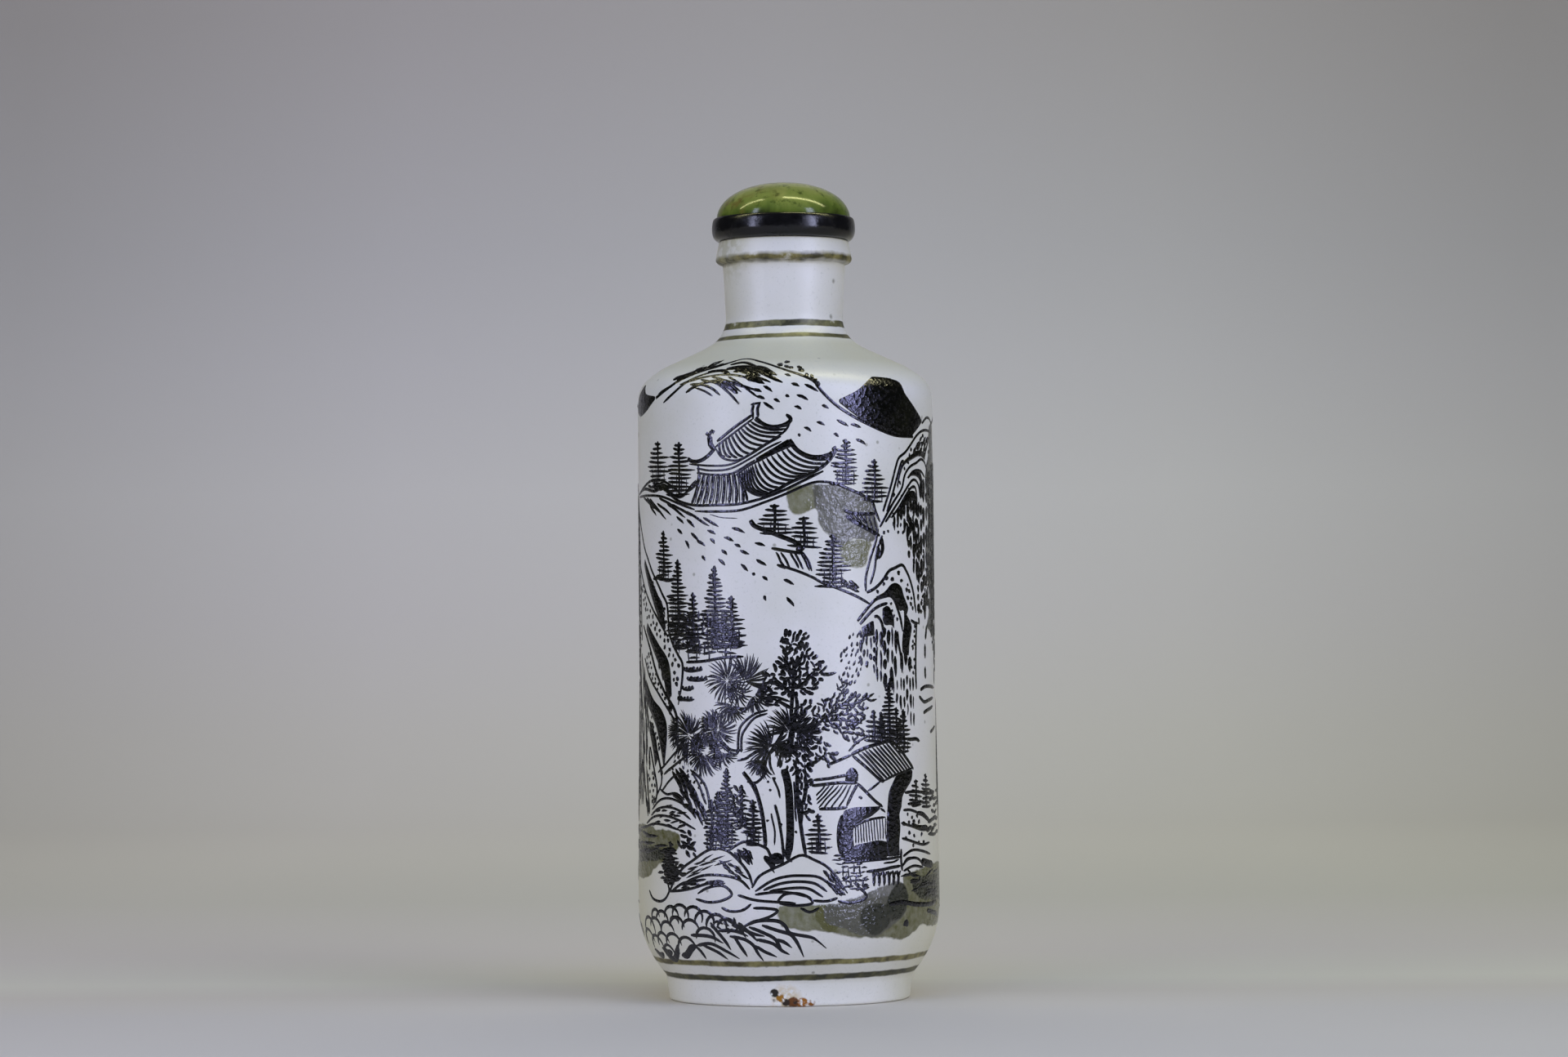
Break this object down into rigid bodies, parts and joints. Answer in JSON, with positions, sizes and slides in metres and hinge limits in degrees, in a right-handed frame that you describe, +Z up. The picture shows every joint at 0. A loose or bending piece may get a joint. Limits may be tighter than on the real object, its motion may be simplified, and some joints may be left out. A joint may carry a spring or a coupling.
{
  "type": "snuff bottle",
  "caption": "Cylindrical porcelain snuff bottle with a rounded shoulder, short neck and foot ring, and a loose stopper: a black collar under a low green dome.",
  "frame": {"origin": "centre of the circle that the foot ring stands on", "axes": "+Z up along the bottle's axis of revolution, -Y towards the viewer of the painted front, +X to that viewer's right"},
  "size_m": [0.0296, 0.0296, 0.0802],
  "materials": {
    "porcelain": "cool white semi-matt glaze with a landscape in raised black and grey enamel",
    "black_lacquer": "glossy black lacquer",
    "green_stone": "polished mottled olive green"
  },
  "bodies": {
    "root": {"bottle": "porcelain", "stopper_collar": "black_lacquer", "stopper_cabochon": "green_stone"}
  },
  "joints": []
}
